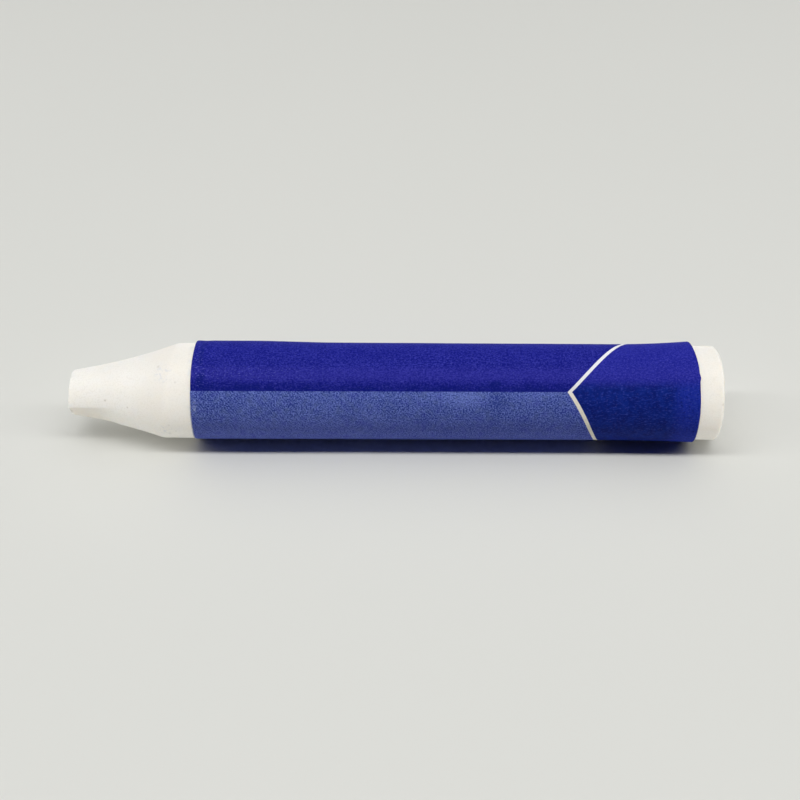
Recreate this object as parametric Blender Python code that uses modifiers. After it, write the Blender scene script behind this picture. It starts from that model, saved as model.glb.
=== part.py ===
"""A thick wax crayon lying on its side: a moulded wax stick in a rolled paper sleeve.

The stick is turned from one profile: a flat drawing face, a slightly hollow nose, a shoulder, and
a barrel that narrows a little towards its rounded butt. The sleeve is one sheet of paper rolled
round the barrel: its outer end climbs over its inner end and is pasted down there. The paste holds
paper to paper only, so the sleeve slides along the stick. The sheet is a little longer round than
the wax, so it lies flat underneath, where it carries the weight.

The crayon's axis runs along X with the drawing face at -X, and the sleeve's flat lies on z = 0.
Angles round the axis start at the front (-Y) and rise over the top (+Z).

Run it with: blender --background --python part.py
"""

import math

import bmesh
import bpy
from mathutils import Vector

MM = 0.001

# Wax stick
STICK_LENGTH = 100.0 * MM
BARREL_DIAMETER = 14.8 * MM  # at the shoulder
BARREL_DRAFT = 0.08 * MM  # radius lost between the shoulder and the butt
BUTT_ROUND = 0.5 * MM
NOSE_LENGTH = 15.3 * MM
NOSE_HOLLOW = 0.40 * MM  # depth of the flank under a straight cone
SHOULDER_ROUND = 2.0 * MM
TIP_DIAMETER = 7.1 * MM  # of the drawing face, before its edge is rounded
TIP_ROUND = 0.3 * MM

# Paper sleeve
SLEEVE_LENGTH = 77.0 * MM
SLEEVE_SETBACK = 4.0 * MM  # bare barrel between the shoulder and the sleeve
SLEEVE_CLEARANCE = 0.03 * MM  # between the wax and the flat that it rests on
FLAT_ANGLE = math.radians(10.0)  # half of the turn that lies flat
PAPER_THICKNESS = 0.10 * MM
SEAM_ANGLE = math.radians(50.0)  # where the sheet's inner end lies
LAP_ANGLE = math.radians(95.0)  # how far the outer end runs on over it
CLIMB_ANGLE = math.radians(15.0)  # over which the sheet rises on to its own inner end
FRONT_FLARE = 0.05 * MM  # how far the loose ends stand off the wax at the top
BACK_FLARE = 0.35 * MM
FLARE_LENGTH = 14.0 * MM

# Paste line in the lap
PASTE_THICKNESS = 0.04 * MM
PASTE_CLEARANCE = 0.02 * MM  # on each face of the line
PASTE_INSET = 1.0 * MM  # bare paper at the ends of the lap
PASTE_MARGIN = math.radians(10.0)  # bare paper along both edges of the lap

# Facets
FACETS = 72
FLANK_SEGMENTS = 8
ARC_STEP = math.radians(15.0)
SHEET_STATIONS = 12
MERGE_DISTANCE = 0.001 * MM

# Materials: linear colour and roughness
WAX = ((0.83, 0.80, 0.74), 0.45)
PRINTED_PAPER = ((0.022, 0.028, 0.26), 0.55)
DRY_PASTE = ((0.72, 0.66, 0.52), 0.70)

FACET_ANGLE = math.tau / FACETS
BARREL_RADIUS = BARREL_DIAMETER / 2
FLAT_DEPTH = BARREL_RADIUS + SLEEVE_CLEARANCE
BORE_RADIUS = FLAT_DEPTH / math.cos(FLAT_ANGLE)
LAP_LIFT = PAPER_THICKNESS + PASTE_THICKNESS + 2 * PASTE_CLEARANCE
AXIS_HEIGHT = FLAT_DEPTH + PAPER_THICKNESS
STRAIGHT_DOWN = math.radians(270.0)
TIP_X = -STICK_LENGTH / 2
SLEEVE_FRONT = TIP_X + NOSE_LENGTH + SLEEVE_SETBACK
SLEEVE_BACK = SLEEVE_FRONT + SLEEVE_LENGTH


def clear_scene():
    for obj in list(bpy.data.objects):
        bpy.data.objects.remove(obj, do_unlink=True)


def material(name, finish):
    colour, roughness = finish
    made = bpy.data.materials.new(name)
    made.use_nodes = True
    shader = made.node_tree.nodes["Principled BSDF"]
    shader.inputs["Base Color"].default_value = (*colour, 1.0)
    shader.inputs["Roughness"].default_value = roughness
    shader.inputs["Metallic"].default_value = 0.0
    made.diffuse_color = (*colour, 1.0)
    return made


def smoothstep(share):
    share = min(max(share, 0.0), 1.0)
    return share * share * (3 - 2 * share)


def rounded_corner(before, corner, after, radius):
    """The points of an arc of this radius that touches both sides of a corner."""
    back = (before - corner).normalized()
    ahead = (after - corner).normalized()
    half_opening = back.angle(ahead) / 2
    reach = radius / math.tan(half_opening)
    centre = corner + (back + ahead).normalized() * (radius / math.sin(half_opening))
    start = corner + back * reach - centre
    end = corner + ahead * reach - centre
    segments = math.ceil(start.angle(end) / ARC_STEP)
    shares = [step / segments for step in range(segments + 1)]
    return [centre + start.slerp(end, share).normalized() * radius for share in shares]


def flank_points():
    """The nose's side from tip to shoulder, as (distance from the tip, radius)."""
    points = []
    for step in range(FLANK_SEGMENTS + 1):
        share = step / FLANK_SEGMENTS
        straight = TIP_DIAMETER / 2 + share * (BARREL_DIAMETER - TIP_DIAMETER) / 2
        hollow = 4 * NOSE_HOLLOW * share * (1 - share)
        points.append(Vector((share * NOSE_LENGTH, straight - hollow)))
    return points


def stick_profile():
    """The stick's half section from the middle of the tip to the middle of the butt."""
    tip_centre = Vector((0.0, 0.0))
    flank = flank_points()
    butt_edge = Vector((STICK_LENGTH, BARREL_RADIUS - BARREL_DRAFT))
    butt_centre = Vector((STICK_LENGTH, 0.0))
    return [
        tip_centre,
        *rounded_corner(tip_centre, flank[0], flank[1], TIP_ROUND),
        *flank[1:-1],
        *rounded_corner(flank[-2], flank[-1], butt_edge, SHOULDER_ROUND),
        *rounded_corner(flank[-1], butt_edge, butt_centre, BUTT_ROUND),
        butt_centre,
    ]


def add_object(name, mesh, finish, collection, parent):
    mesh.materials.append(material(name, finish))
    mesh.shade_smooth()
    obj = bpy.data.objects.new(name, mesh)
    collection.objects.link(obj)
    obj.parent = parent
    return obj


def wax_stick(collection, axis):
    """Turned upright about Z with its tip up, then laid along X."""
    profile = stick_profile()
    points = [(radius, 0.0, STICK_LENGTH / 2 - along) for along, radius in profile]
    edges = [(index, index + 1) for index in range(len(points) - 1)]
    mesh = bpy.data.meshes.new("wax_stick")
    mesh.from_pydata(points, edges, [])
    stick = add_object("wax_stick", mesh, WAX, collection, axis)
    stick.rotation_euler = (0.0, -math.pi / 2, 0.0)
    turn = stick.modifiers.new("Turn", "SCREW")
    turn.axis = "Z"
    turn.angle = math.tau
    turn.steps = FACETS
    turn.render_steps = FACETS
    turn.use_merge_vertices = True
    turn.merge_threshold = MERGE_DISTANCE
    turn.use_smooth_shade = True
    return stick


def stand_off(along, angle):
    """How far the loose ends lift off the wax: most at the top, and nothing underneath."""
    front = 1 - (along - SLEEVE_FRONT) / FLARE_LENGTH
    back = 1 - (SLEEVE_BACK - along) / FLARE_LENGTH
    lift = FRONT_FLARE * max(front, 0.0) ** 2 + BACK_FLARE * max(back, 0.0) ** 2
    return lift * ((1 + math.sin(angle)) / 2) ** 2


def sheet_radius(along, angle):
    """The sheet's inner face: round but for its flat, then up on to its own inner end."""
    from_flat = min(abs(angle - STRAIGHT_DOWN), FLAT_ANGLE)
    before_seam = SEAM_ANGLE + math.tau - angle
    climb = smoothstep(1 - before_seam / CLIMB_ANGLE)
    return FLAT_DEPTH / math.cos(from_flat) + climb * LAP_LIFT + stand_off(along, angle)


def paste_radius(along, angle):
    """The paste line's inner face, just over the sheet's inner end."""
    return BORE_RADIUS + PAPER_THICKNESS + PASTE_CLEARANCE + stand_off(along, angle)


def rolled_sheet(name, ends, turn, radius_at):
    """A flat grid rolled round the X axis, facing out.

    ends is where it starts and stops along X, and turn is its first and last angle. The stations
    along X crowd towards both ends, where the sheet bends.
    """
    columns = round((turn[1] - turn[0]) / FACET_ANGLE)
    mesh = bpy.data.meshes.new(name)
    grid = bmesh.new()
    bmesh.ops.create_grid(grid, x_segments=SHEET_STATIONS, y_segments=columns, size=1.0)
    for vertex in grid.verts:
        across = math.sin(vertex.co.x * math.pi / 2)
        along = (ends[0] + ends[1]) / 2 + across * (ends[1] - ends[0]) / 2
        angle = turn[0] + (vertex.co.y + 1) / 2 * (turn[1] - turn[0])
        radius = radius_at(along, angle)
        vertex.co = (along, -radius * math.cos(angle), radius * math.sin(angle))
    grid.to_mesh(mesh)
    grid.free()
    return mesh


def thicken(obj, thickness):
    """Gives a sheet its thickness outwards and keeps the shading crisp at its cut edges."""
    shell = obj.modifiers.new("Thickness", "SOLIDIFY")
    shell.thickness = thickness
    shell.offset = 1.0
    shell.use_even_offset = True
    shell.use_quality_normals = True
    obj.modifiers.new("Shading", "WEIGHTED_NORMAL")


def paper_sleeve(collection, axis):
    ends = (SLEEVE_FRONT, SLEEVE_BACK)
    turn = (SEAM_ANGLE, SEAM_ANGLE + math.tau + LAP_ANGLE)
    mesh = rolled_sheet("paper_sleeve", ends, turn, sheet_radius)
    sleeve = add_object("paper_sleeve", mesh, PRINTED_PAPER, collection, axis)
    thicken(sleeve, PAPER_THICKNESS)
    return sleeve


def lap_paste(collection, sleeve):
    ends = (SLEEVE_FRONT + PASTE_INSET, SLEEVE_BACK - PASTE_INSET)
    turn = (SEAM_ANGLE + PASTE_MARGIN, SEAM_ANGLE + LAP_ANGLE - PASTE_MARGIN)
    mesh = rolled_sheet("lap_paste", ends, turn, paste_radius)
    paste = add_object("lap_paste", mesh, DRY_PASTE, collection, sleeve)
    thicken(paste, PASTE_THICKNESS)
    return paste


def main():
    clear_scene()
    crayon = bpy.data.collections.new("wax_crayon")
    bpy.context.scene.collection.children.link(crayon)
    axis = bpy.data.objects.new("crayon_axis", None)
    axis.location = (0.0, 0.0, AXIS_HEIGHT)
    crayon.objects.link(axis)
    wax_stick(crayon, axis)
    sleeve = paper_sleeve(crayon, axis)
    lap_paste(crayon, sleeve)


main()
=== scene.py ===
# %% [markdown]
# # A thick wax crayon in its paper sleeve
#
# The crayon is two things: a stick of cast wax, and one printed sheet of paper that is rolled round
# it and pasted to itself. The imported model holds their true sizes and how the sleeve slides. This
# lesson gives both their surfaces: first the shapes, then the wax and the print, then the light and
# the camera.

import math

import bmesh
import bpy
import numpy as np
from mathutils import Matrix, Vector, noise


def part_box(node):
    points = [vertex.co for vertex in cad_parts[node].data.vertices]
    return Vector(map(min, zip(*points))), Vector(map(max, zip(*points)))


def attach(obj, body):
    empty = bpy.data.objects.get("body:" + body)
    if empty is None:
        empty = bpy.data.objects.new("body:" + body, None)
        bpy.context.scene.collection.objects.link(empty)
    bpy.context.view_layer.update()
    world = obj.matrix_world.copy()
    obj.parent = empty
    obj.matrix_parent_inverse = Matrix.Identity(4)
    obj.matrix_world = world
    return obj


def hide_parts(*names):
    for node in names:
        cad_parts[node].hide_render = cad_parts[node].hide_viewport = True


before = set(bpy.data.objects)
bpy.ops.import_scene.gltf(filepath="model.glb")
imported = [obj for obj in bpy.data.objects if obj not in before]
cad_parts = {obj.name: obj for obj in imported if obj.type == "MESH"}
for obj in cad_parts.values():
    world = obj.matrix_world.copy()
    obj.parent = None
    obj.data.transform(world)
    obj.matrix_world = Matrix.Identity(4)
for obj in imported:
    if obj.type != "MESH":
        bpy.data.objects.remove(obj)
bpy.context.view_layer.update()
MM = 0.001

# %% [markdown]
# ## Sizes
#
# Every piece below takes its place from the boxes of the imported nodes, so that nothing has to be
# fitted. The crayon lies along X with its tip at -X. An angle round its axis starts at the front
# (-Y) and rises over the top, as a clock hand would for someone who looks at the butt.

# %% Read the sizes from the frame
wax_low, wax_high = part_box("wax_stick")
sleeve_low, sleeve_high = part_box("paper_sleeve")
TIP_X = wax_low.x
BUTT_X = wax_high.x
STICK_LENGTH = BUTT_X - TIP_X
AXIS_HEIGHT = (wax_low.z + wax_high.z) / 2
BARREL_RADIUS = (wax_high.z - wax_low.z) / 2
SLEEVE_FRONT = sleeve_low.x
SLEEVE_BACK = sleeve_high.x
SLEEVE_LENGTH = SLEEVE_BACK - SLEEVE_FRONT
BARREL_DRAFT = 0.08 * MM  # radius that the barrel loses on its way to the butt
print(f"stick {STICK_LENGTH / MM:.1f} mm by {2 * BARREL_RADIUS / MM:.1f} mm,",
      f"axis {AXIS_HEIGHT / MM:.2f} mm up, sleeve {SLEEVE_LENGTH / MM:.1f} mm")


def around(along, radius, angle):
    """The point at this place along the axis, distance from it and angle round it."""
    return along, -radius * math.cos(angle), AXIS_HEIGHT + radius * math.sin(angle)


def ease(share):
    """0 before the start, 1 after the end, and a smooth rise between them."""
    share = min(max(share, 0.0), 1.0)
    return share * share * (3 - 2 * share)


def bump_at(distance, reach):
    """1 in the middle of a spot, falling smoothly to 0 at its reach."""
    return ease(1 - abs(distance) / reach)


# %% [markdown]
# ## The wax stick
#
# A crayon is cast in a mould, so its surface is a turned shape with small faults: a nose that sits
# a little off the barrel's axis, soft waves where the wax shrank, a sunken middle in the butt, and
# edges that handling has chipped. A Screw modifier would turn a perfect one. Here each ring of the
# turned section is placed by a formula instead, because then every point can be moved by its own
# fault.

# %% Section of the stick
TIP_RADIUS = 3.56 * MM  # where the flank would meet the drawing face
TIP_ROUND = 0.15 * MM
FLANK_SLOPE = 0.144  # gain in radius for each length, at the tip
FLANK_CURVE = 6.8  # how fast that slope grows, for each metre
BUTT_ROUND = 0.5 * MM
BUTT_SINK = 0.22 * MM
TIP_SINK = 0.10 * MM
NOSE_REACH = 17.6 * MM  # past here only the barrel is left
WIDER_THAN_BARREL = 2 * BARREL_RADIUS  # for the rings that are cut down to the barrel later
FINE_STEP = 0.25 * MM
FINE_UNDER_SLEEVE = 2.0 * MM  # the fine steps go on this far under the sleeve
COARSE_STEP = 0.8 * MM
ARC_STEPS = 9
FACE_STEPS = 16


def flank_radius(from_tip):
    """The nose's radius at this distance from the tip: a slightly hollow cone."""
    return TIP_RADIUS + FLANK_SLOPE * from_tip + FLANK_CURVE * from_tip ** 2


def barrel_radius(along):
    """The barrel's true radius at this place along the axis."""
    return BARREL_RADIUS - BARREL_DRAFT * max(along - TIP_X - NOSE_REACH, 0.0) / STICK_LENGTH


def corner_arc(before, corner, after, radius):
    """Points on the arc of this radius that rounds a corner of the section."""
    back = (before - corner).normalized()
    ahead = (after - corner).normalized()
    half = back.angle(ahead) / 2
    reach = radius / math.tan(half)
    centre = corner + (back + ahead).normalized() * (radius / math.sin(half))
    start = corner + back * reach - centre
    end = corner + ahead * reach - centre
    return [centre + start.slerp(end, step / ARC_STEPS).normalized() * radius
            for step in range(ARC_STEPS + 1)]


def stick_section():
    """The half section as (distance from the tip, radius), from the tip's middle to the butt's."""
    tip_corner = Vector((0.0, TIP_RADIUS))
    butt_corner = Vector((STICK_LENGTH, barrel_radius(BUTT_X)))
    flank_start = Vector((NOSE_REACH / 4, flank_radius(NOSE_REACH / 4)))
    tip_arc = corner_arc(Vector((0.0, 0.0)), tip_corner, flank_start, TIP_ROUND)
    butt_arc = corner_arc(Vector((NOSE_REACH, BARREL_RADIUS)), butt_corner,
                          Vector((STICK_LENGTH, 0.0)), BUTT_ROUND)
    section = []
    for step in range(1, FACE_STEPS):
        share = step / FACE_STEPS
        section.append((TIP_SINK * (1 - share * share) ** 2, share * tip_arc[0].y))
    section += [(point.x, point.y) for point in tip_arc]
    for place in np.arange(tip_arc[-1].x + FINE_STEP, NOSE_REACH, FINE_STEP):
        section.append((place, flank_radius(place)))
    covered_from = SLEEVE_FRONT - TIP_X + FINE_UNDER_SLEEVE
    covered_to = SLEEVE_BACK - TIP_X - FINE_UNDER_SLEEVE
    for place in [*np.arange(NOSE_REACH, covered_from, FINE_STEP),
                  *np.arange(covered_from, covered_to, COARSE_STEP),
                  *np.arange(covered_to, butt_arc[0].x - FINE_STEP / 2, FINE_STEP)]:
        section.append((place, WIDER_THAN_BARREL))
    section += [(point.x, point.y) for point in butt_arc]
    for step in range(1, FACE_STEPS):
        share = 1 - step / FACE_STEPS
        sink = BUTT_SINK * (1 - share * share) ** 2
        section.append((STICK_LENGTH - sink, share * butt_arc[-1].y))
    return section


SECTION = stick_section()
print(len(SECTION), "rings in the stick's section")

# %% [markdown]
# The faults are small numbers, but they are what tells cast wax from a machined rod. The nose is
# shifted towards the lower front, so the shoulder comes earlier below than above. The barrel may
# only shrink inwards from its true radius, because the sleeve has to slide over it.

# %% Faults of the casting
NOSE_SHIFT = 0.40 * MM
NOSE_SHIFT_ANGLE = math.radians(-50)
NOSE_FORWARD = NOSE_SHIFT * math.cos(NOSE_SHIFT_ANGLE)
NOSE_UP = NOSE_SHIFT * math.sin(NOSE_SHIFT_ANGLE)
SHOULDER_BLEND = 0.16 * MM
WAVE_DEPTH = 0.035 * MM
WAVE_LENGTH = 7.0 * MM
DRAG_DEPTH = 0.012 * MM
DRAG_LENGTH = 9.0 * MM
DRAG_WIDTH = 0.7 * MM
CHIP_DEPTH = 0.16 * MM
CHIP_SIZE = 1.1 * MM
CHIP_THRESHOLD = 0.28  # only the peaks of the noise above this break out
CHIP_OFFSET = Vector((7.3, 1.9, 4.1))  # so that the chips don't follow the waves
BUTT_WORN = 0.40 * MM  # how far handling has rounded the butt's edge, at its top
BUTT_WORN_ANGLE = math.radians(118)
BUTT_WORN_REACH = math.radians(55)
FACE_IN = 0.30 * MM  # the drawing face is askew: its upper edge lies this far in
FACE_OUT = 0.18 * MM  # and its lower edge this far out
FACE_IN_ANGLE = math.radians(130)
FACE_REACH = 3.0 * MM  # the nose follows it as far as here
TIP_EDGE_REACH = 1.3 * MM  # how far from the two rims their wear goes
BUTT_EDGE_REACH = 1.6 * MM
FLAT_SIDE_TOP = math.radians(-2)  # drawing has worn one side of the nose flat, from this angle
FLAT_SIDE_BOTTOM = math.radians(-61)  # down to this one
FLAT_SIDE_CLIMB = math.radians(2.0) / MM  # how fast its upper edge climbs along the nose
FLAT_SIDE_LENGTH = 3.0 * MM  # flat as far as here, and round again from the next
FLAT_SIDE_END = 8.0 * MM
RING_POINTS = 288


def angle_between(first, second):
    """The angle between two directions round the axis, never more than half a turn."""
    return abs((first - second + math.pi) % math.tau - math.pi)


def soft_least(first, second, blend):
    """The smaller of two radii, rounded where they meet."""
    overlap = max(blend - abs(first - second), 0.0) / blend
    return min(first, second) - overlap * overlap * blend / 4


def casting_fault(x, y, z, edge):
    """How far the surface lies under the true one here: waves, drag marks and chipped edges."""
    wave = noise.noise(Vector((x, y, z)) / WAVE_LENGTH)
    drag = noise.noise(Vector((x / DRAG_LENGTH, y / DRAG_WIDTH, z / DRAG_WIDTH)))
    chip = noise.noise(Vector((x, y, z)) / CHIP_SIZE + CHIP_OFFSET)
    return (WAVE_DEPTH * (0.5 + 0.5 * wave) + DRAG_DEPTH * (0.5 + 0.5 * drag)
            + edge * CHIP_DEPTH * max(chip - CHIP_THRESHOLD, 0.0))


def flat_side(from_tip, angle):
    """The share of the radius that is left where drawing has worn one side of the nose flat."""
    top = FLAT_SIDE_TOP + FLAT_SIDE_CLIMB * min(from_tip, FLAT_SIDE_END)
    half = (top - FLAT_SIDE_BOTTOM) / 2
    from_middle = angle_between(angle, top - half)
    if from_middle > half:
        return 1.0
    worn = 1 - ease((from_tip - FLAT_SIDE_LENGTH) / (FLAT_SIDE_END - FLAT_SIDE_LENGTH))
    return 1 - worn * (1 - math.cos(half) / math.cos(from_middle))


def face_tilt(from_tip, radius, angle):
    """How far a point near the tip lies behind its place, because the drawing face is askew."""
    middle = (FACE_IN - FACE_OUT) / 2
    slope = (FACE_IN + FACE_OUT) / 2 * min(radius / TIP_RADIUS, 1.0)
    return (middle + slope * math.cos(angle - FACE_IN_ANGLE)) * (1 - ease(from_tip / FACE_REACH))


def stick_ring(from_tip, radius):
    """One ring of the stick: shifted as the nose is, kept within the barrel, then worn."""
    along = TIP_X + from_tip
    on_nose = from_tip < NOSE_REACH
    on_butt = from_tip >= STICK_LENGTH - BUTT_ROUND
    tip_edge = bump_at(math.hypot(from_tip, radius - TIP_RADIUS), TIP_EDGE_REACH)
    from_rim = math.hypot(STICK_LENGTH - from_tip, min(radius, BARREL_RADIUS) - BARREL_RADIUS)
    butt_edge = bump_at(from_rim, BUTT_EDGE_REACH)
    ring = []
    for step in range(RING_POINTS):
        angle = math.tau * step / RING_POINTS
        worn_radius = radius * flat_side(from_tip, angle) if on_nose else radius
        across = worn_radius * math.cos(angle)
        up = worn_radius * math.sin(angle)
        if on_nose:
            across += NOSE_FORWARD
            up += NOSE_UP
        reach = math.hypot(across, up)
        if reach > 0:
            held = reach if on_butt else soft_least(reach, barrel_radius(along), SHOULDER_BLEND)
            fault = casting_fault(along, across, up, tip_edge + butt_edge)
            held -= fault * min(reach / TIP_RADIUS, 1.0)
            across *= held / reach
            up *= held / reach
        most_worn = bump_at(angle_between(angle, BUTT_WORN_ANGLE), BUTT_WORN_REACH)
        worn = BUTT_WORN * butt_edge * most_worn
        ring.append((along - worn + face_tilt(from_tip, radius, angle), -across, AXIS_HEIGHT + up))
    return ring


print(f"nose {NOSE_SHIFT / MM:.2f} mm off the axis, drawing face",
      f"askew by {(FACE_IN + FACE_OUT) / MM:.2f} mm")


# %% Skin the rings
def skin_mesh(name, rings, cap_points):
    """Joins closed rings into a tube and closes both ends with a fan."""
    columns = len(rings[0])
    points = [point for ring in rings for point in ring] + list(cap_points)
    faces = []
    for row in range(len(rings) - 1):
        for column in range(columns):
            after = (column + 1) % columns
            faces.append((row * columns + column, (row + 1) * columns + column,
                          (row + 1) * columns + after, row * columns + after))
    first_cap = len(rings) * columns
    last_row = first_cap - columns
    for column in range(columns):
        after = (column + 1) % columns
        faces.append((first_cap, column, after))
        faces.append((first_cap + 1, last_row + after, last_row + column))
    mesh = bpy.data.meshes.new(name)
    mesh.from_pydata(points, [], faces)
    return mesh


def add_to_scene(name, data):
    """A new object in the scene that holds this mesh, lamp or camera."""
    made = bpy.data.objects.new(name, data)
    bpy.context.scene.collection.objects.link(made)
    return made


def add_piece(name, mesh):
    """A new smooth piece in the scene, with its faces turned outwards."""
    skin = bmesh.new()
    skin.from_mesh(mesh)
    bmesh.ops.recalc_face_normals(skin, faces=skin.faces)
    skin.to_mesh(mesh)
    skin.free()
    mesh.shade_smooth()
    return add_to_scene(name, mesh)


caps = [(TIP_X + TIP_SINK + face_tilt(0, 0, 0), -NOSE_FORWARD, AXIS_HEIGHT + NOSE_UP),
        (BUTT_X - BUTT_SINK, 0.0, AXIS_HEIGHT)]
rings = [stick_ring(from_tip, radius) for from_tip, radius in SECTION]
cast_wax = add_piece("cast_wax", skin_mesh("cast_wax", rings, caps))
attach(cast_wax, "stick")
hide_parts("wax_stick")
print("wax faces:", len(cast_wax.data.polygons))

# %% [markdown]
# ## The paper sleeve
#
# The label is one sheet, rolled on for a turn and a quarter. Where the second turn climbs over the
# end of the first, that end shows through as a soft ridge. The roll is tight in the middle and
# loose at both ends. A tube would lose all of this, so the sheet is built flat, as a grid of places
# along and round the crayon, and each place gets its radius from the wax and paper under it.

# %% Roll of the sheet
PAPER = 0.065 * MM
SNUG = 0.006 * MM  # between the wax and the sheet
PASTE_GAP = 0.010 * MM
SEAM = math.radians(50)  # where the sheet's inner end lies
LAP = math.radians(95)
CLIMB = math.radians(10)
SHEET_END = SEAM + math.tau + LAP
STRAIGHT_DOWN = math.radians(270)
TABLE_ANGLE = math.radians(12)  # half of the turn that lies on the table
FREE_ANGLE = math.radians(46)  # from here on the sheet is free of it
FRONT_LOOSE = 0.25 * MM
FRONT_LOOSE_FROM = 8 * MM  # loose as far as here, and tight from the next
FRONT_LOOSE_TO = 22 * MM
BACK_LOOSE = 0.58 * MM
BACK_LOOSE_LENGTH = 13 * MM
CREASE_FROM_END = 1.7 * MM
CREASE_DEPTH = 0.05 * MM
CREASE_REACH = 1.1 * MM
WRINKLE_DEPTH = 0.025 * MM
WRINKLE_LENGTH = 9.0 * MM
WRINKLE_ROUND = 3.0  # radius of the circle on which their noise is read
FINE_WRINKLE_LENGTH = 3.1 * MM
FINE_WRINKLE_ROUND = 7.0
FINE_WRINKLE_SHARE = 0.28
EDGE_WANDER = 0.05 * MM
WANDER_ROUND = 2.2  # the same circle for the wander of both ends
WANDER_DRIFT = 9.0  # how slowly its noise changes from turn to turn
WANDER_BACK = 3.7  # so that the back end doesn't repeat the front end
SLACK_ANGLE = math.radians(130)  # where both ends of the sheet are set back most
FRONT_SET_BACK = 0.36 * MM
FRONT_SLACK_REACH = math.radians(130)
FRONT_REACHES_OUT = 0.10 * MM  # on the other side of the crayon
BACK_SHORT = 0.12 * MM  # where the outer turn is tight
BACK_SHORT_ANGLE = math.radians(46)
BACK_SHORT_REACH = math.radians(30)
BACK_SET_BACK = 0.85 * MM
BACK_SLACK_REACH = math.radians(100)
BACK_NICK = 0.14 * MM  # where the inner end of the sheet pushes the outer turn out
BACK_NICK_ANGLE = math.radians(56)
BACK_NICK_REACH = math.radians(5)
LIFT_AT_END = 0.10 * MM  # of the outer end, here and there along the crayon
LIFT_LENGTH = 11.0 * MM
LIFT_ANGLE = math.radians(9)
ALONG_STEPS = 150
ROUND_STEPS = 330


def off_the_table(angle):
    """0 where the sleeve lies on the table, 1 from the lower front upwards."""
    from_down = angle_between(angle, STRAIGHT_DOWN)
    return ease((from_down - TABLE_ANGLE) / (FREE_ANGLE - TABLE_ANGLE))


def looseness(along, angle):
    """How far the paper stands off the wax: at both ends, and most at the top."""
    from_front = along - SLEEVE_FRONT
    front = 1 - ease((from_front - FRONT_LOOSE_FROM) / (FRONT_LOOSE_TO - FRONT_LOOSE_FROM))
    back = max(1 - (SLEEVE_BACK - along) / BACK_LOOSE_LENGTH, 0.0) ** 2
    top = 0.5 + 0.5 * math.sin(angle)
    lift = FRONT_LOOSE * front * top + BACK_LOOSE * back * (0.4 + 0.6 * top)
    crease = CREASE_DEPTH * bump_at(along - SLEEVE_FRONT - CREASE_FROM_END, CREASE_REACH)
    return max(lift - crease * ease(lift / FRONT_LOOSE), 0.0) * off_the_table(angle)


def wrinkles(along, angle):
    """Shallow buckles along the roll, none where it lies on the table."""
    coarse = noise.noise(Vector((along / WRINKLE_LENGTH, WRINKLE_ROUND * math.cos(angle),
                                 WRINKLE_ROUND * math.sin(angle))))
    fine = noise.noise(Vector((along / FINE_WRINKLE_LENGTH, FINE_WRINKLE_ROUND * math.cos(angle),
                               FINE_WRINKLE_ROUND * math.sin(angle))))
    buckle = 0.5 + 0.5 * coarse + FINE_WRINKLE_SHARE * fine
    return WRINKLE_DEPTH * max(buckle, 0.0) * off_the_table(angle)


def sheet_radius(along, turn):
    """The sheet's inner face at this place along the crayon and this far round the roll."""
    angle = turn % math.tau
    climb = ease(1 - (SEAM + math.tau - turn) / CLIMB) * (PAPER + PASTE_GAP)
    free_end = ease(1 - (SHEET_END - turn) / LIFT_ANGLE)
    lifted = free_end * LIFT_AT_END * max(noise.noise(Vector((along / LIFT_LENGTH, 0.3, 5.2))), 0.0)
    return (barrel_radius(along) + SNUG + climb + lifted
            + looseness(along, angle) + wrinkles(along, angle))


def wander(turn, seed):
    """How far an end of the sheet strays from a clean cut at this turn of the roll."""
    place = Vector((WANDER_ROUND * math.cos(turn), WANDER_ROUND * math.sin(turn),
                    seed + turn / WANDER_DRIFT))
    return EDGE_WANDER * noise.noise(place)


def front_edge(turn):
    """How far the sheet's front end lies behind its place: the roll sits askew on the wax."""
    slack = bump_at(angle_between(turn, SLACK_ANGLE), FRONT_SLACK_REACH)
    return FRONT_SET_BACK * slack - FRONT_REACHES_OUT + wander(turn, 0.0)


def back_edge(turn):
    """The same for its back end, where the slack is larger."""
    slack = bump_at(angle_between(turn, SLACK_ANGLE), BACK_SLACK_REACH)
    nick = bump_at(angle_between(turn, BACK_NICK_ANGLE), BACK_NICK_REACH)
    short = bump_at(angle_between(turn, BACK_SHORT_ANGLE), BACK_SHORT_REACH)
    cut = BACK_NICK * nick - BACK_SET_BACK * slack - BACK_SHORT * short
    return cut + wander(turn, WANDER_BACK)


print(f"the sheet turns {math.degrees(SHEET_END - SEAM):.0f} degrees round the wax")


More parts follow.
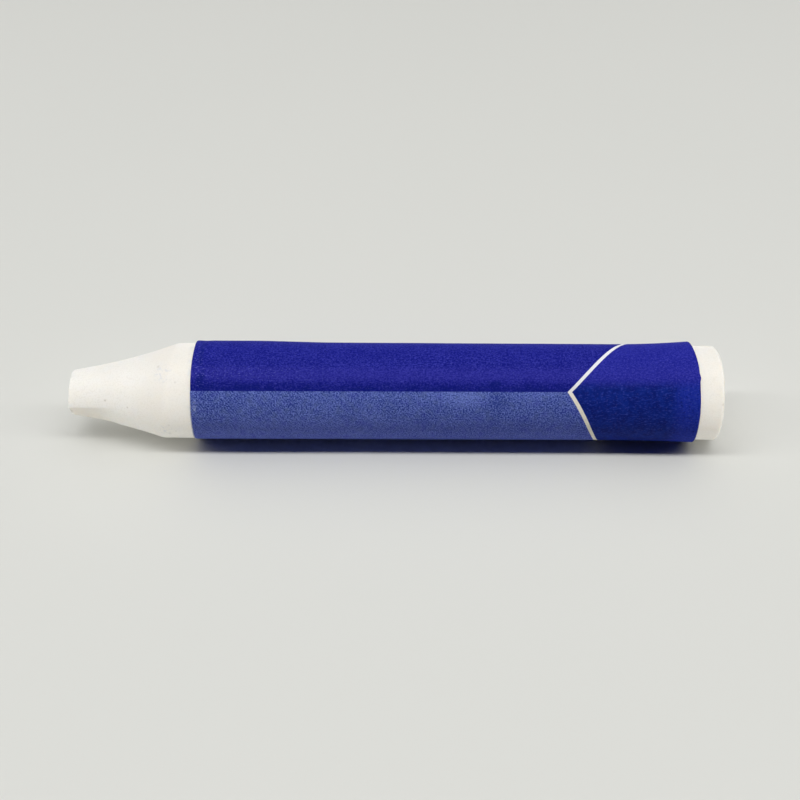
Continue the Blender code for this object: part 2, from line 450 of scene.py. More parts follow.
# %% Rolled sheets as pieces
def rolled_sheet(name, ends, turns, steps, radius_at, thickness):
    """A grid rolled round the crayon, thickened outwards, with its flat place kept in a UV map."""
    along_steps, round_steps = steps
    points = []
    for row in range(along_steps + 1):
        share = 0.5 - 0.5 * math.cos(math.pi * row / along_steps)
        share = 0.5 * share + 0.5 * row / along_steps
        for column in range(round_steps + 1):
            turn = turns[0] + (turns[1] - turns[0]) * column / round_steps
            front = ends[0] + front_edge(turn)
            back = ends[1] + back_edge(turn)
            along = front + (back - front) * share
            points.append(around(along, radius_at(along, turn), turn))
    width = round_steps + 1
    quads = [(row * width + column, (row + 1) * width + column,
              (row + 1) * width + column + 1, row * width + column + 1)
             for row in range(along_steps) for column in range(round_steps)]
    mesh = bpy.data.meshes.new(name)
    mesh.from_pydata(points, [], quads)
    flat = mesh.uv_layers.new(name="flat_sheet")
    for loop in mesh.loops:
        along = points[loop.vertex_index][0]
        column = loop.vertex_index % width
        flat.uv[loop.index].vector = ((along - SLEEVE_FRONT) / SLEEVE_LENGTH, column / round_steps)
    mesh.shade_smooth()
    piece = add_to_scene(name, mesh)
    outwards = Vector(points[0]) - Vector((points[0][0], 0, AXIS_HEIGHT))
    faces_out = mesh.polygons[0].normal.dot(outwards) > 0
    shell = piece.modifiers.new("thickness", "SOLIDIFY")
    shell.thickness = thickness
    shell.offset = 1.0 if faces_out else -1.0
    shell.use_even_offset = True
    shell.use_flip_normals = not faces_out
    shell.material_offset = 1
    shell.material_offset_rim = 1
    return piece


SHEET_TURNS = (SEAM, SHEET_END)
printed_sheet = rolled_sheet("printed_sheet", (SLEEVE_FRONT, SLEEVE_BACK), SHEET_TURNS,
                             (ALONG_STEPS, ROUND_STEPS), sheet_radius, PAPER)
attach(printed_sheet, "sleeve")
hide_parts("paper_sleeve")
print("sheet faces before thickening:", len(printed_sheet.data.polygons))

# %% [markdown]
# The paste is a thin dry film between the two turns. It is hardly ever seen, but it is what holds
# the roll shut, so it is there: a sheet of its own, a little shorter and narrower than the lap.

# %% Dry paste in the lap
PASTE_FILM = 0.006 * MM
PASTE_INSET = 1.0 * MM
PASTE_MARGIN = math.radians(10)
PASTE_ENDS = (SLEEVE_FRONT + PASTE_INSET, SLEEVE_BACK - PASTE_INSET)
PASTE_TURNS = (SEAM + PASTE_MARGIN, SEAM + LAP - PASTE_MARGIN)
PASTE_STEPS = (60, 40)


def paste_radius(along, turn):
    """The film's inner face, just over the outer face of the first turn."""
    return sheet_radius(along, turn) + PAPER + (PASTE_GAP - PASTE_FILM) / 2


dry_paste = rolled_sheet("dry_paste", PASTE_ENDS, PASTE_TURNS, PASTE_STEPS, paste_radius,
                         PASTE_FILM)
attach(dry_paste, "sleeve")
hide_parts("lap_paste")
print("paste faces before thickening:", len(dry_paste.data.polygons))

# %% [markdown]
# ## Shader maths as Python
#
# A finish is easier to read as an expression than as a tangle of nodes. This class wraps one output
# of a node. Arithmetic on it adds Math nodes, and its node method adds any other kind by name.

# %% Sockets as values
class Flow:
    """One output of a node in a material, to be used as a value in Python."""

    def __init__(self, tree, socket):
        self.tree = tree
        self.socket = socket

    def node(self, kind, settings=None, inputs=None, output=0):
        """Adds a node of this kind: first its settings, then the values or links of its inputs."""
        made = self.tree.nodes.new(kind)
        for name, value in (settings or {}).items():
            setattr(made, name, value)
        for name, value in (inputs or {}).items():
            if isinstance(value, Flow):
                self.tree.links.new(value.socket, made.inputs[name])
            elif isinstance(value, tuple) and made.inputs[name].type == "RGBA":
                made.inputs[name].default_value = (*value, 1.0)
            else:
                made.inputs[name].default_value = value
        return Flow(self.tree, made.outputs[output])

    def maths(self, operation, *values):
        return self.node("ShaderNodeMath", {"operation": operation}, dict(enumerate(values)))

    def __add__(self, other):
        return self.maths("ADD", self, other)

    def __sub__(self, other):
        return self.maths("SUBTRACT", self, other)

    def __rsub__(self, other):
        return self.maths("SUBTRACT", other, self)

    def __mul__(self, other):
        return self.maths("MULTIPLY", self, other)

    def __truediv__(self, other):
        return self.maths("DIVIDE", self, other)

    def __rtruediv__(self, other):
        return self.maths("DIVIDE", other, self)

    def __neg__(self):
        return self.maths("MULTIPLY", self, -1.0)

    def __abs__(self):
        return self.maths("ABSOLUTE", self)

    def exp(self):
        return self.maths("EXPONENT", self)

    __radd__ = __add__
    __rmul__ = __mul__


# %% Short words for common nodes
def fade(value, start, end):
    """0 at start, 1 at end, smooth between them. Start may be the larger of the two."""
    return value.node("ShaderNodeMapRange", {"interpolation_type": "SMOOTHSTEP"},
                      {"Value": value, "From Min": start, "From Max": end})


def grain(place, size, detail=2.0, roughness=0.5, stretch=(1.0, 1.0, 1.0)):
    """Noise whose lumps have this size, in the unit of place, drawn out by stretch."""
    scaled = place.node("ShaderNodeVectorMath", {"operation": "DIVIDE"},
                        {0: place, 1: tuple(size * share for share in stretch)})
    return place.node("ShaderNodeTexNoise", None,
                      {"Vector": scaled, "Scale": 1.0, "Detail": detail, "Roughness": roughness})


def blend_colours(share, first, second):
    """The first colour where share is 0, the second where it is 1."""
    return share.node("ShaderNodeMix", {"data_type": "RGBA"},
                      {"Factor": share, 6: first, 7: second}, output=2)


def relief(height, strength, depth):
    """The normal of a surface with this height, whose full range is this depth in millimetres."""
    return height.node("ShaderNodeBump", None,
                       {"Strength": strength, "Distance": depth * MM, "Height": height},
                       output="Normal")


def new_finish(name):
    """A material with a Principled shader, and a Flow with which to start its nodes."""
    made = bpy.data.materials.new(name)
    made.use_nodes = True
    tree = made.node_tree
    shader = tree.nodes["Principled BSDF"]
    return made, shader, Flow(tree, None)


def connect(shader, **sockets):
    """Feeds the shader: a Flow is linked, and anything else is set on the socket itself."""
    tree = shader.id_data
    for name, value in sockets.items():
        socket = shader.inputs[name.replace("_", " ")]
        if isinstance(value, Flow):
            tree.links.new(value.socket, socket)
        elif isinstance(value, tuple) and socket.type == "RGBA":
            socket.default_value = (*value, 1.0)
        else:
            socket.default_value = value


def object_millimetres(flow):
    """The place on the piece, in millimetres, which stays on it when it moves."""
    place = flow.node("ShaderNodeTexCoord", output="Object")
    return flow.node("ShaderNodeVectorMath", {"operation": "SCALE"}, {0: place, "Scale": 1 / MM})


# %% [markdown]
# ## White wax
#
# Pigmented wax is an off-white, a little warm, and light goes some way into it, which softens its
# shadows. Handling leaves grey specks, drag marks along its length and faint smudges of ink next to
# the paper. Under the sleeve it stays cleaner. Painted shade darkens the lower rim of the drawing
# face, and the side of the nose that drawing has worn flat has both a stain of use and painted
# shade.

# %% Wax finish
WAX_COLOUR = (0.812, 0.793, 0.754)
WAX_WARM = (0.803, 0.780, 0.734)
WAX_COOL = (0.800, 0.792, 0.764)
WAX_PORE = (0.745, 0.722, 0.672)
SPECK_AND_SHADE_COLOUR = (0.36, 0.32, 0.27)
SMUDGE_COLOUR = (0.55, 0.58, 0.64)
# rubbed wax; on the worn flat side of the nose it is also painted shade
WAX_RUBBED_AND_SHADE = (0.735, 0.690, 0.615)
HANDLED_TINT = 0.28  # share of that colour on the bare barrel at both ends of the sleeve
HANDLED_FROM = 9.0  # millimetres from the tip: clean as far as here, handled from the next
HANDLED_TO = 14.0
INK_SMUDGES = (  # distance from the tip, angle and reach of smudges of ink
    (15.1, 64.0, 2.4),
    (14.7, -14.0, 2.2),
)
WAX_MARKS_AND_RIM_SHADE = (  # distance from the tip, angle, reach and strength of dark specks and painted shade
    # the first three are painted shade along the lower rim of the drawing face
    (0.1, -13.0, 0.42, 0.70),
    (0.1, -25.0, 0.46, 0.85),
    (0.1, -37.0, 0.42, 0.70),
    (5.9, 24.5, 0.28, 0.55),
    (9.4, 15.5, 0.22, 0.45),
    (14.2, 74.5, 0.40, 0.30),
    (17.0, 52.0, 0.28, 0.30),
    (15.75, -4.5, 0.30, 0.22),
    (15.65, -22.5, 0.42, 0.28),
    (98.3, 56.0, 0.55, 0.10),
    (99.8, 25.5, 0.42, 0.45),
    (99.9, 15.5, 0.34, 0.40),
)


def spot(place, centre, reach):
    """1 at a point on the piece, fading to 0 at this distance, both in millimetres."""
    away = place.node("ShaderNodeVectorMath", {"operation": "DISTANCE"}, {0: place, 1: centre},
                      output="Value")
    return fade(away, reach, 0.0)


def on_wax(from_tip, degrees):
    """A point of the wax in millimetres, from its distance from the tip and its angle."""
    behind = from_tip * MM
    angle = math.radians(degrees)
    radius = min(flank_radius(behind), BARREL_RADIUS) * flat_side(behind, angle)
    across = radius * math.cos(angle)
    up = radius * math.sin(angle)
    if behind < NOSE_REACH:
        across += NOSE_FORWARD
        up += NOSE_UP
    held = min(BARREL_RADIUS / math.hypot(across, up), 1.0)
    x = TIP_X + behind + face_tilt(behind, radius, angle)
    return x / MM, -across * held / MM, (AXIS_HEIGHT + up * held) / MM


def flat_side_stain_and_shade(place, along):
    """1 on the side of the nose that drawing has worn flat, with a sharp upper edge: there a stain
    of use and painted shade go.
    """
    y = place.node("ShaderNodeSeparateXYZ", None, {0: place}, output="Y")
    z = place.node("ShaderNodeSeparateXYZ", None, {0: place}, output="Z")
    angle = place.maths("ARCTAN2", z - (AXIS_HEIGHT + NOSE_UP) / MM, -y - NOSE_FORWARD / MM)
    from_tip = along - TIP_X / MM
    upper = angle - from_tip * (FLAT_SIDE_CLIMB * MM) - FLAT_SIDE_TOP
    inside = fade(upper, 0.02, -0.05) * fade(angle, FLAT_SIDE_BOTTOM - 0.1, FLAT_SIDE_BOTTOM + 0.1)
    flank = (fade(from_tip, 0.05, 0.25)
             * fade(from_tip, FLAT_SIDE_END / MM, FLAT_SIDE_LENGTH / MM - 1.5))
    return inside * flank


def wax_finish():
    made, shader, flow = new_finish("white_wax")
    place = object_millimetres(flow)
    along = flow.node("ShaderNodeSeparateXYZ", None, {0: place}, output="X")
    clouds = grain(place, 5.0, detail=3.0)
    streaks = grain(place, 0.5, detail=3.0, stretch=(14.0, 1.0, 1.0))
    pores = grain(place, 0.22, detail=1.0)
    warm = fade(clouds, 0.40, 0.68)
    colour = blend_colours(warm, WAX_COLOUR, WAX_WARM)
    colour = blend_colours(fade(streaks, 0.52, 0.75) * 0.5, colour, WAX_COOL)
    colour = blend_colours(fade(pores, 0.46, 0.70) * 0.70, colour, WAX_PORE)
    cell = flow.node("ShaderNodeTexVoronoi", {"feature": "F1"}, {"Vector": place, "Scale": 0.42},
                     output="Distance")
    chance = grain(place, 3.0, detail=0.0)
    specks = fade(cell, 0.055, 0.035) * fade(chance, 0.56, 0.60)
    middle = (SLEEVE_FRONT + SLEEVE_BACK) / 2 / MM
    half = SLEEVE_LENGTH / 2 / MM
    bare = fade(abs(along - middle), half - 0.6, half + 0.4)
    ink = 0.0
    for from_tip, degrees, reach in INK_SMUDGES:
        ink = spot(place, on_wax(from_tip, degrees), reach) + ink
    scuffs = fade(grain(place, 0.45, detail=4.0), 0.50, 0.66)
    at_edge = fade(abs(along - SLEEVE_FRONT / MM + 0.2), 0.7, 0.0)
    edge_ink = at_edge * fade(grain(place, 1.2), 0.45, 0.7) * 0.35
    handled = bare * fade(along, TIP_X / MM + HANDLED_FROM, TIP_X / MM + HANDLED_TO)
    colour = blend_colours(handled * HANDLED_TINT, colour, WAX_RUBBED_AND_SHADE)
    # The worn flat side: a stain of use, and painted shade.
    colour = blend_colours(flat_side_stain_and_shade(place, along) * 0.8, colour, WAX_RUBBED_AND_SHADE)
    colour = blend_colours(specks * bare * 0.8, colour, SPECK_AND_SHADE_COLOUR)
    # Dark specks, and painted shade along the tip's lower rim.
    for from_tip, degrees, reach, strength in WAX_MARKS_AND_RIM_SHADE:
        mark = spot(place, on_wax(from_tip, degrees), reach) * strength
        colour = blend_colours(mark, colour, SPECK_AND_SHADE_COLOUR)
    colour = blend_colours(ink * scuffs * 0.54 + edge_ink, colour, SMUDGE_COLOUR)
    height = pores * 0.5 + streaks * 0.35 - specks * 0.4
    connect(shader, Base_Color=colour, Roughness=0.46 + streaks * 0.14 + pores * 0.06,
            Normal=relief(height, 0.20, 0.05), Subsurface_Weight=1.0,
            Subsurface_Radius=(1.0, 0.9, 0.75), Subsurface_Scale=1.2 * MM, Specular_IOR_Level=0.4)
    return made


cast_wax.data.materials.append(wax_finish())
print("wax nodes:", len(cast_wax.data.materials[0].node_tree.nodes))

# %% [markdown]
# ## The print
#
# The sheet is printed flat, so the design is worked out flat too: millimetres along the sheet, and
# millimetres round it from the line where the lighter panel starts. A pale stripe divides the
# sheet. It leaves the panel's corner in two arms, which both bend until they run straight round the
# crayon. Paint on the finished roll would follow the lap and the flare, so the flat places were
# kept in a UV map.

# %% Print design
PANEL_TOP = math.radians(39.7) + math.tau  # where the panel starts, as a turn of the roll
PANEL_HEIGHT = 22.0
PRINT_SKEW = 0.0016  # the roll is a little askew, so the panel's line drops towards the tip
STRIPE_CORNER = 57.20  # millimetres from the sheet's front edge
STRIPE_WIDTH = 0.67  # measured along the sheet
STRIPE_TAPER = 0.12  # how much of that the lower arm loses on its way round
UPPER_ARM = (33.0, 33.5)  # how far an arm gets in the end, and over which length it bends
LOWER_ARM = (7.7, 11.2)
ROUND_RADIUS = (BARREL_RADIUS + SNUG + PAPER) / MM
BACK_END = (72.0, 74.8)  # millimetres from the front edge, between which the blue is painted brighter, as light on the flared end


def flat_sheet(flow):
    """The place on the flat sheet in millimetres: along it, and round it from the panel's line."""
    flat = flow.node("ShaderNodeUVMap", {"uv_map": "flat_sheet"})
    along = flow.node("ShaderNodeSeparateXYZ", None, {0: flat}, output="X") * (SLEEVE_LENGTH / MM)
    turn = flow.node("ShaderNodeSeparateXYZ", None, {0: flat}, output="Y")
    first = (SHEET_TURNS[0] - PANEL_TOP) * ROUND_RADIUS
    whole = (SHEET_TURNS[1] - SHEET_TURNS[0]) * ROUND_RADIUS
    return along, turn * whole + first + (STRIPE_CORNER - along) * PRINT_SKEW


def stripe_arm(height, arm):
    """How far along the sheet an arm of the stripe has got at this height from its corner."""
    reach, bend = arm
    return reach - reach * (height / -bend).exp()


def printed_shapes(along, height, ragged):
    """Masks of the stripe, of what lies left of it, and of the panel."""
    above = height.maths("MAXIMUM", height, 0.0)
    below = height.maths("MAXIMUM", -height, 0.0)
    line = STRIPE_CORNER + stripe_arm(above, UPPER_ARM) + stripe_arm(below, LOWER_ARM)
    from_line = along - line + ragged
    half = STRIPE_WIDTH / 2 - fade(height, -1.0, -9.0) * (STRIPE_TAPER / 2)
    stripe = fade(abs(from_line) - half, 0.05, -0.05)
    left = fade(from_line, 0.02, -0.02)
    under_line = fade(height + ragged, 0.03, -0.03)
    above_end = fade(height + PANEL_HEIGHT, -0.03, 0.03)
    return stripe, left, left * under_line * above_end


print(f"panel {PANEL_HEIGHT:.0f} mm high, corner of the stripe {STRIPE_CORNER:.1f} mm",
      "from the front edge")


# %% [markdown]
# Ink on soft paper is never even. It misses the hollows between fibres, which leaves light flecks,
# and it is thicker in others. The panel is screened: its ink stands in slanting rows, which are
# clear at the front end and get lost in the grain further back. Each ink is therefore a blend of
# two colours, and the share of the lighter one comes from a grain of its own.

# %% Inks
ROYAL_INK = (0.000, 0.003, 0.195)
ROYAL_THIN = (0.034, 0.038, 0.390)
ROYAL_LIT = (0.034, 0.033, 0.365)
ROYAL_RIGHT = (0.032, 0.036, 0.460)
DEEP_INK = (0.000, 0.009, 0.162)
DEEP_THIN = (0.001, 0.018, 0.230)
DEEP_FLECK = (0.024, 0.046, 0.345)
END_PAINTED_LIGHT_BLUE = (0.009, 0.025, 0.345)
PANEL_DARK = (0.011, 0.029, 0.232)
PANEL_LIGHT = (0.176, 0.242, 0.665)
PANEL_GREY = (0.080, 0.118, 0.270)
PANEL_VIOLET = (0.046, 0.056, 0.390)
STRIPE_WHITE = (0.90, 0.89, 0.94)
STRIPE_CREAM = (0.94, 0.89, 0.77)
STRIPE_STAIN = (0.70, 0.63, 0.48)
PAPER_WHITE = (0.80, 0.79, 0.75)
RIDGE_TOP = 2.6  # millimetres above the panel's line, where the lap stands proud
HATCH_PITCH = 0.46
HATCH_SLANT = 0.8
HATCH_DEPTH = 0.015  # in shares of the lighter ink, all over the panel
HATCH_DEPTH_FRONT = 0.034  # more than that at the front end
PANEL_MEAN = 0.51  # middle of the panel's grain
PANEL_CALM = 0.20  # share of its contrast that the grain loses near the panel's line


def blue_ink(place, height, left, back_end):
    """Royal blue with a painted highlight on the ridge; deeper below the ridge right of the stripe,
    and painted brighter at the flared back end.
    """
    grit = grain(place, 0.20, detail=1.0, stretch=(1.3, 1.0, 1.0))
    felt = grain(place, 0.45, detail=2.0)
    clouds = grain(place, 2.6, detail=3.0, roughness=0.6)
    strands = grain(place, 0.24, detail=1.0, stretch=(3.0, 1.0, 1.0))
    thin = fade(grit * 0.52 + felt * 0.32 + clouds * 0.16, 0.40, 0.70)
    royal = blend_colours(thin, ROYAL_INK, ROYAL_THIN)
    # Painted highlight: the royal is lighter on the ridge, where the lap stands proud.
    ridge = fade(abs(height - RIDGE_TOP), 1.7, 0.3)
    royal = blend_colours(ridge * (thin * 0.5 + 0.25) * (left * 0.6 + 0.4), royal, ROYAL_LIT)
    royal = blend_colours((1 - left) * 0.22, royal, ROYAL_RIGHT)
    mottle = grain(place, 1.5, detail=2.0)
    deep = blend_colours(fade(mottle * 0.6 + felt * 0.4, 0.36, 0.64), DEEP_INK, DEEP_THIN)
    # Painted light: the deep blue is brighter where the back end flares out.
    deep = blend_colours(back_end * fade(felt * 0.6 + grit * 0.4, 0.28, 0.56), deep, END_PAINTED_LIGHT_BLUE)
    deep = blend_colours(fade(strands * 0.65 + felt * 0.35, 0.50, 0.76), deep, DEEP_FLECK)
    return blend_colours(fade(height, 2.3, 0.1) * (1 - left), royal, deep)


PANEL_PATCHES = (  # place along and round, half length, half height, gain in the lighter ink
    (1.8, -0.6, 1.9, 1.0, -0.026),
    (4.0, -2.8, 3.6, 5.0, -0.018),
    (40.8, -0.9, 5.4, 2.2, 0.044),
    (46.6, -1.3, 2.6, 1.9, -0.038),
    (53.2, -0.4, 3.0, 1.2, 0.026),
)


def oval(place, along, height, half_length, half_height, uneven=0.0):
    """1 in the middle of an oval on the flat sheet, fading to 0 at its edge."""
    offset = place.node("ShaderNodeVectorMath", {"operation": "SUBTRACT"},
                        {0: place, 1: (along, height, 0.0)})
    scaled = place.node("ShaderNodeVectorMath", {"operation": "DIVIDE"},
                        {0: offset, 1: (half_length, half_height, 1.0)})
    away = place.node("ShaderNodeVectorMath", {"operation": "LENGTH"}, {0: scaled}, output="Value")
    return fade(away + uneven, 1.1, 0.2)


def uneven_patches(place):
    """What the panel's larger patches add to the share of its lighter ink."""
    gain = 0.0
    for along, height, half_length, half_height, strength in PANEL_PATCHES:
        gain = oval(place, along, height, half_length, half_height) * strength + gain
    return gain


def panel_ink(place, along, height):
    """The screened panel: slanting rows at the front end, and grain further back."""
    grit = grain(place, 0.22, detail=1.0)
    felt = grain(place, 0.45, detail=3.0)
    clouds = grain(place, 3.2, detail=2.0)
    rows = (along + height * HATCH_SLANT + (felt - 0.5) * 0.5) * (math.tau / HATCH_PITCH)
    broken = fade(grain(place, 1.1, detail=1.0), 0.34, 0.58)
    depth = fade(along, 26.0, 10.0) * HATCH_DEPTH_FRONT + HATCH_DEPTH
    hatch = place.maths("SINE", rows) * broken * depth
    # Painted light: lighter in a band along the panel's line, as a highlight, and towards its lower
    # edge, most at the front end.
    front_foot = fade(height, -0.8, -5.0) * fade(along, 38.0, 22.0)
    foot = fade(height, -3.0, -8.0) * 0.03 + front_foot * 0.03
    lit = fade(height, -2.6, -0.2) * 0.012 + foot
    calm = 1 - fade(height, -4.5, -0.8) * PANEL_CALM
    mixed = grit * 0.70 + felt * 0.20 + clouds * 0.10 + hatch
    share = (mixed - PANEL_MEAN) * calm + PANEL_MEAN + lit
    share = share + uneven_patches(place)
    ink = blend_colours(fade(share, 0.39, 0.65), PANEL_DARK, PANEL_LIGHT)
    tint = grain(place, 1.2, detail=2.0)
    ink = blend_colours(fade(tint, 0.50, 0.30) * 0.35, ink, PANEL_GREY)
    violet = fade(tint, 0.52, 0.72) * 0.35 + fade(height, -2.5, -7.0) * 0.3
    return blend_colours(violet, ink, PANEL_VIOLET)


print(len(PANEL_PATCHES), "uneven patches in the panel")


# %% [markdown]
# Last come what use has done and some painted shade: painted shade along the foot of the ridge,
# where the second turn climbs on to the first, broken up by dirt; painted shade in a few dents and
# a fold; fibres rubbed bare on the ridge near the tip; and ends that are worn to the white of the
# paper.

# %% Wear and painted shade on the print
CREASE_HEIGHT = 1.65  # how far the painted shade and dirt reach above the panel's line
CREASE_SHADE_AND_DIRT = (0.000, 0.006, 0.172)
BARE_FIBRE = (0.105, 0.110, 0.50)
SCRAPE = (0.65, -2.5, 0.45, 1.3)  # place along and round, half length, half height
SCRAPED = (0.34, 0.41, 0.70)
DENT_SHADES = (  # painted shade: place along and round, half length, half height, strength
    (1.5, 1.7, 1.0, 1.6, 0.85),
    (1.4, 6.6, 0.5, 4.0, 0.60),
    (3.0, 0.6, 1.6, 0.7, 0.40),
    (8.5, 0.7, 3.0, 0.7, 0.45),
    (46.0, 1.1, 1.5, 0.75, 0.78),
    (51.5, 0.8, 3.6, 0.6, 0.20),
    (66.8, 0.5, 0.5, 0.35, 0.60),
    (69.9, 0.85, 2.9, 0.22, 0.60),
)


def dents(place, uneven):
    """One mask of painted shade for all the dents and the fold, each an oval with an uneven edge.
    """
    depth = 0.0
    for along, height, half_length, half_height, strength in DENT_SHADES:
        depth = oval(place, along, height, half_length, half_height, uneven) * strength + depth
    return place.maths("MINIMUM", depth, 1.0)


def worn_and_shaded_print(place, along, height, left, colour):
    """The printed colour with painted shade and dirt along the ridge's foot, painted shade in its
    dents, its bare fibres and its worn ends.
    """
    uneven = grain(place, 0.9, detail=3.0) - 0.5
    dirt = fade(grain(place, 0.8, detail=2.0, stretch=(1.8, 1.0, 1.0)), 0.40, 0.62)
    crease = fade(height, -0.04, 0.06) * fade(height + uneven * 1.6, CREASE_HEIGHT, 0.2) * left
    # Painted shade along the foot of the ridge, broken up by dirt; then painted shade in the dents.
    colour = blend_colours(crease * (dirt * 0.48 + 0.34), colour, CREASE_SHADE_AND_DIRT)
    colour = blend_colours(dents(place, uneven * 1.2), colour, CREASE_SHADE_AND_DIRT)

    fibres = fade(grain(place, 0.18, detail=1.0, stretch=(2.0, 1.0, 1.0)), 0.56, 0.72)
    ridge = fade(abs(height - RIDGE_TOP), 1.7, 0.3) * fade(along, 30.0, 8.0)
    front_rim = fade(along, 2.6, 0.4)
    ends = place.maths("MINIMUM", along, SLEEVE_LENGTH / MM - along)
    rubbed = fibres * (ridge * 0.36 + front_rim * 0.60 + 0.22)
    colour = blend_colours(rubbed, colour, BARE_FIBRE)
    strands = fade(grain(place, 0.2, detail=1.0, stretch=(1.0, 2.2, 1.0)), 0.42, 0.62)
    colour = blend_colours(oval(place, *SCRAPE, uneven) * strands * 0.8, colour, SCRAPED)
    return blend_colours(fade(ends + uneven * 0.2, 0.10, 0.02) * 0.5, colour, PAPER_WHITE)


print(len(DENT_SHADES), "dents in the print")


# %% Print finish
def print_finish():
    made, shader, flow = new_finish("printed_paper")
    along, height = flat_sheet(flow)
    place = flow.node("ShaderNodeCombineXYZ", None, {"X": along, "Y": height})
    ragged = (grain(place, 0.22, detail=2.0) - 0.5) * 0.08
    stripe, left, panel = printed_shapes(along, height, ragged)
    blue = blue_ink(place, height, left, fade(along, *BACK_END))
    colour = blend_colours(panel, blue, panel_ink(place, along, height))
    colour = worn_and_shaded_print(place, along, height, left, colour)
    stain = fade(grain(place, 0.5, detail=3.0), 0.45, 0.75) * 0.35
    pale = blend_colours(fade(height, 0.5, -0.5), STRIPE_WHITE, STRIPE_CREAM)
    pale = blend_colours(stain * fade(height, 1.0, -3.0), pale, STRIPE_STAIN)
    colour = blend_colours(stripe, colour, pale)
    tooth = grain(place, 0.15, detail=2.0, stretch=(2.0, 1.0, 1.0))
    buckles = grain(place, 2.2, detail=3.0)
    bumps = tooth * 0.7 + buckles * 0.5
    connect(shader, Base_Color=colour, Roughness=0.62 + tooth * 0.16,
            Normal=relief(bumps, 0.4, 0.06), Specular_IOR_Level=0.10)
    return made


# %% Bare paper
PAPER_FIBRE = (0.70, 0.68, 0.62)
PAPER_AGED = (0.66, 0.63, 0.56)


def bare_paper_finish():
    """The unprinted inside of the sheet and its cut edges."""
    made, shader, flow = new_finish("bare_paper")
    place = object_millimetres(flow)
    fibres = grain(place, 0.16, detail=3.0, roughness=0.6)
    clouds = grain(place, 2.0, detail=2.0)
    colour = blend_colours(fade(fibres, 0.40, 0.70), PAPER_WHITE, PAPER_FIBRE)
    colour = blend_colours(fade(clouds, 0.5, 0.8) * 0.3, colour, PAPER_AGED)
    connect(shader, Base_Color=colour, Roughness=0.80 + fibres * 0.15,
            Normal=relief(fibres, 0.3, 0.05), Specular_IOR_Level=0.25)
    return made


printed_sheet.data.materials.append(print_finish())
printed_sheet.data.materials.append(bare_paper_finish())
print("print nodes:", len(printed_sheet.data.materials[0].node_tree.nodes))

# %% Paste finish
PASTE_COLOUR = (0.70, 0.63, 0.48)
PASTE_THICK = (0.58, 0.50, 0.36)


def paste_finish():
    made, shader, flow = new_finish("dry_paste")
    place = object_millimetres(flow)
    brushed = grain(place, 0.4, detail=3.0, stretch=(8.0, 1.0, 1.0))
    colour = blend_colours(fade(brushed, 0.35, 0.7), PASTE_COLOUR, PASTE_THICK)
    connect(shader, Base_Color=colour, Roughness=0.55 + brushed * 0.3)
    return made


dry_paste.data.materials.append(paste_finish())
dry_paste.data.materials.append(dry_paste.data.materials[0])
print("paste nodes:", len(dry_paste.data.materials[0].node_tree.nodes))

# %% [markdown]
# ## Table, light and camera
#
# The crayon lies on a pale board. A strip lamp a little to the front of straight above draws the
# sharp shadow along the sleeve, and a wide softbox behind it softens everything else. Wax lets a
# share of the light through, so its shadow is paler than the paper's: the strip is hung twice, and
# the wax stops only one of the two. Weak glows that reach nothing but the wax stand in for the
# light that scatters about inside it. Away from the crayon the board fades into the plain colour of
# the sky, so that no horizon is seen.

# %% Pale board
BOARD_COLOUR = (0.740, 0.742, 0.705)
BOARD_SHADE = (0.722, 0.727, 0.690)
BOARD_SIZE = 4.0
BOARD_NEAR = 190.0  # millimetres from the middle: lit as far as here, plain colour from the next
BOARD_FAR = 360.0


def shown_rays(flow):
    """1 for the rays that show a background: from the camera, off a gloss and through glass."""
    seen = flow.node("ShaderNodeLightPath", output="Is Camera Ray")
    shiny = flow.node("ShaderNodeLightPath", output="Is Glossy Ray")
    through = flow.node("ShaderNodeLightPath", output="Is Transmission Ray")
    return flow.maths("MINIMUM", seen + shiny + through, 1.0)


def board_finish():
    made, shader, flow = new_finish("pale_board")
    tree = made.node_tree
    place = object_millimetres(flow)
    soft = grain(place, 90.0, detail=1.0)
    colour = blend_colours(fade(soft, 0.3, 0.7) * 0.35, BOARD_COLOUR, BOARD_SHADE)
    connect(shader, Base_Color=colour, Roughness=0.9, Specular_IOR_Level=0.1)
    away = flow.node("ShaderNodeVectorMath", {"operation": "LENGTH"}, {0: place}, output="Value")
    far = fade(away, BOARD_NEAR, BOARD_FAR) * shown_rays(flow)
    plain = flow.node("ShaderNodeEmission", None, {"Color": BOARD_COLOUR})
    lit = Flow(tree, shader.outputs["BSDF"])
    surface = flow.node("ShaderNodeMixShader", None, {0: far, 1: lit, 2: plain})
    tree.links.new(surface.socket, tree.nodes["Material Output"].inputs["Surface"])
    return made


board_mesh = bpy.data.meshes.new("board")
outline = bmesh.new()
bmesh.ops.create_grid(outline, x_segments=1, y_segments=1, size=BOARD_SIZE / 2)
outline.to_mesh(board_mesh)
outline.free()
board = add_to_scene("board", board_mesh)
board_mesh.materials.append(board_finish())
print("board nodes:", len(board_mesh.materials[0].node_tree.nodes))

# %% Sky and lamps
SKY_FILL = 0.005
LAMP_DISTANCE = 0.8
STRIP_TILT = math.radians(12)
STRIP_LENGTH = 3.0
STRIP_WIDTH = 0.10
STRIP_POWER = 10.47
SOFT_TILT = math.radians(-22)
SOFT_WIDTH = math.radians(76)
SOFT_STRENGTH = 1.04
THROUGH_WAX = 0.27  # share of the strip's light which wax lets through
GLOW_WIDTH = math.radians(40)
GLOWS = {  # degrees tilted from straight above, degrees turned from the front, strength
    "front_glow": (76, 0, 1.08),
    "back_glow": (85, 180, 0.68),
    "butt_glow": (86, 90, 0.45),
    "tip_glow": (86, -90, 0.35),
}


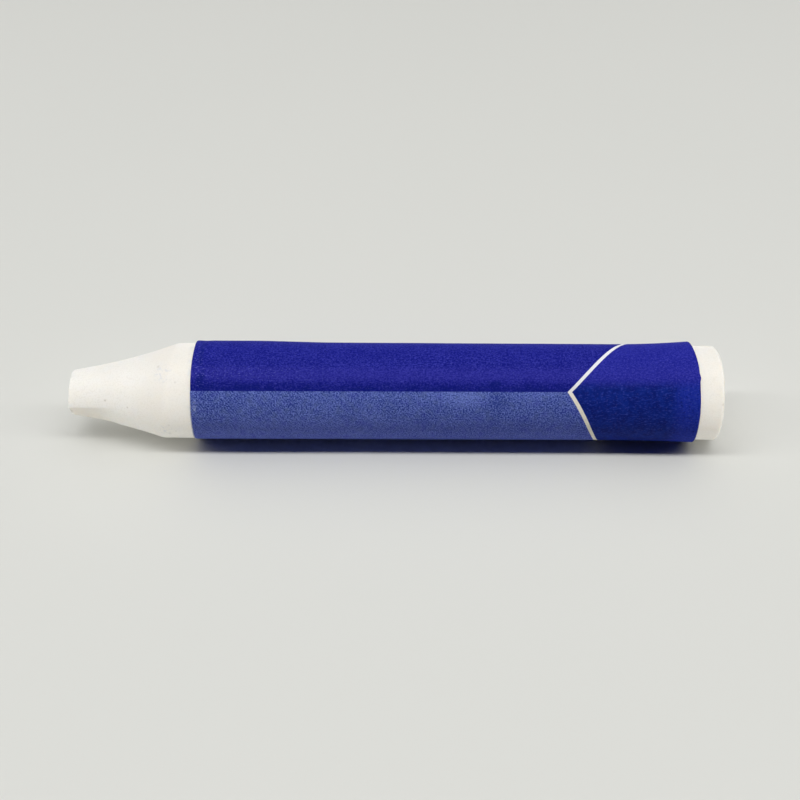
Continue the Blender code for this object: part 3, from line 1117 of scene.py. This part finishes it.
def make_sky():
    world = bpy.data.worlds.new("studio")
    world.use_nodes = True
    tree = world.node_tree
    flow = Flow(tree, None)
    back = tree.nodes["Background"]
    strength = shown_rays(flow) * (1 - SKY_FILL) + SKY_FILL
    back.inputs["Color"].default_value = (*BOARD_COLOUR, 1.0)
    tree.links.new(strength.socket, back.inputs["Strength"])
    bpy.context.scene.world = world


def group_of(name, *pieces):
    """A collection that only says which pieces a lamp reaches or which ones stop it."""
    made = bpy.data.collections.new(name)
    for piece in pieces:
        made.objects.link(piece)
    return made


def hang_lamp(name, kind, tilt, strength, turn=0.0, **settings):
    """A lamp that looks at the middle of the board, tilted from straight above, then turned."""
    lamp = bpy.data.lights.new(name, kind)
    lamp.energy = strength
    for setting, value in settings.items():
        setattr(lamp, setting, value)
    hung = add_to_scene(name, lamp)
    hung.rotation_euler = (tilt, 0.0, turn)
    hung.location = hung.rotation_euler.to_matrix() @ Vector((0.0, 0.0, LAMP_DISTANCE))
    return hung


def hang_strip():
    """Two strips in one place: the wax stops one of them, and lets the other through."""
    form = {"shape": "RECTANGLE", "size": STRIP_LENGTH, "size_y": STRIP_WIDTH}
    hang_lamp("strip", "AREA", STRIP_TILT, STRIP_POWER * (1 - THROUGH_WAX), **form)
    through = hang_lamp("strip_through", "AREA", STRIP_TILT, STRIP_POWER * THROUGH_WAX, **form)
    through.light_linking.blocker_collection = paper_only


def hang_glow(name, tilt, turn, strength):
    """Light that only the wax gets, in place of what scatters about inside it."""
    glow = hang_lamp(name, "SUN", math.radians(tilt), strength, math.radians(turn),
                     angle=GLOW_WIDTH)
    glow.light_linking.receiver_collection = wax_only
    glow.light_linking.blocker_collection = wax_only


make_sky()
wax_only = group_of("wax_only", cast_wax)
paper_only = group_of("paper_only", printed_sheet, dry_paste)
hang_strip()
hang_lamp("softbox", "SUN", SOFT_TILT, SOFT_STRENGTH, angle=SOFT_WIDTH)
for name, (tilt, turn, strength) in GLOWS.items():
    hang_glow(name, tilt, turn, strength)
bpy.context.scene.view_settings.view_transform = "Standard"
print("lamps:", len(bpy.data.lights))

# %% Camera
CAMERA_ELEVATION = math.radians(40)
CAMERA_DISTANCE = 228 * MM
LENS = 65.9
SENSOR = 36.0
NEAR_CLIP = 10 * MM
CAMERA_ROLL = math.radians(0.274)
AIM_ALONG = 0.93 * MM
AIM_BELOW_AXIS = 1.35 * MM


def place_camera():
    lens = bpy.data.cameras.new("camera")
    lens.lens = LENS
    lens.sensor_width = SENSOR
    lens.clip_start = NEAR_CLIP
    camera = add_to_scene("camera", lens)
    up = Vector((0.0, math.sin(CAMERA_ELEVATION), math.cos(CAMERA_ELEVATION)))
    back = Vector((0.0, -math.cos(CAMERA_ELEVATION), math.sin(CAMERA_ELEVATION)))
    right = Vector((1.0, 0.0, 0.0))
    aim = Vector((AIM_ALONG, 0.0, AXIS_HEIGHT)) - up * AIM_BELOW_AXIS
    turn = Matrix((right, up, back)).transposed().to_4x4()
    camera.matrix_world = (Matrix.Translation(aim + back * CAMERA_DISTANCE) @ turn
                           @ Matrix.Rotation(CAMERA_ROLL, 4, "Z"))
    bpy.context.scene.camera = camera


place_camera()
print(f"camera {CAMERA_DISTANCE / MM:.0f} mm away, {math.degrees(CAMERA_ELEVATION):.0f} degrees up")

# %% Update the scene
bpy.context.view_layer.update()
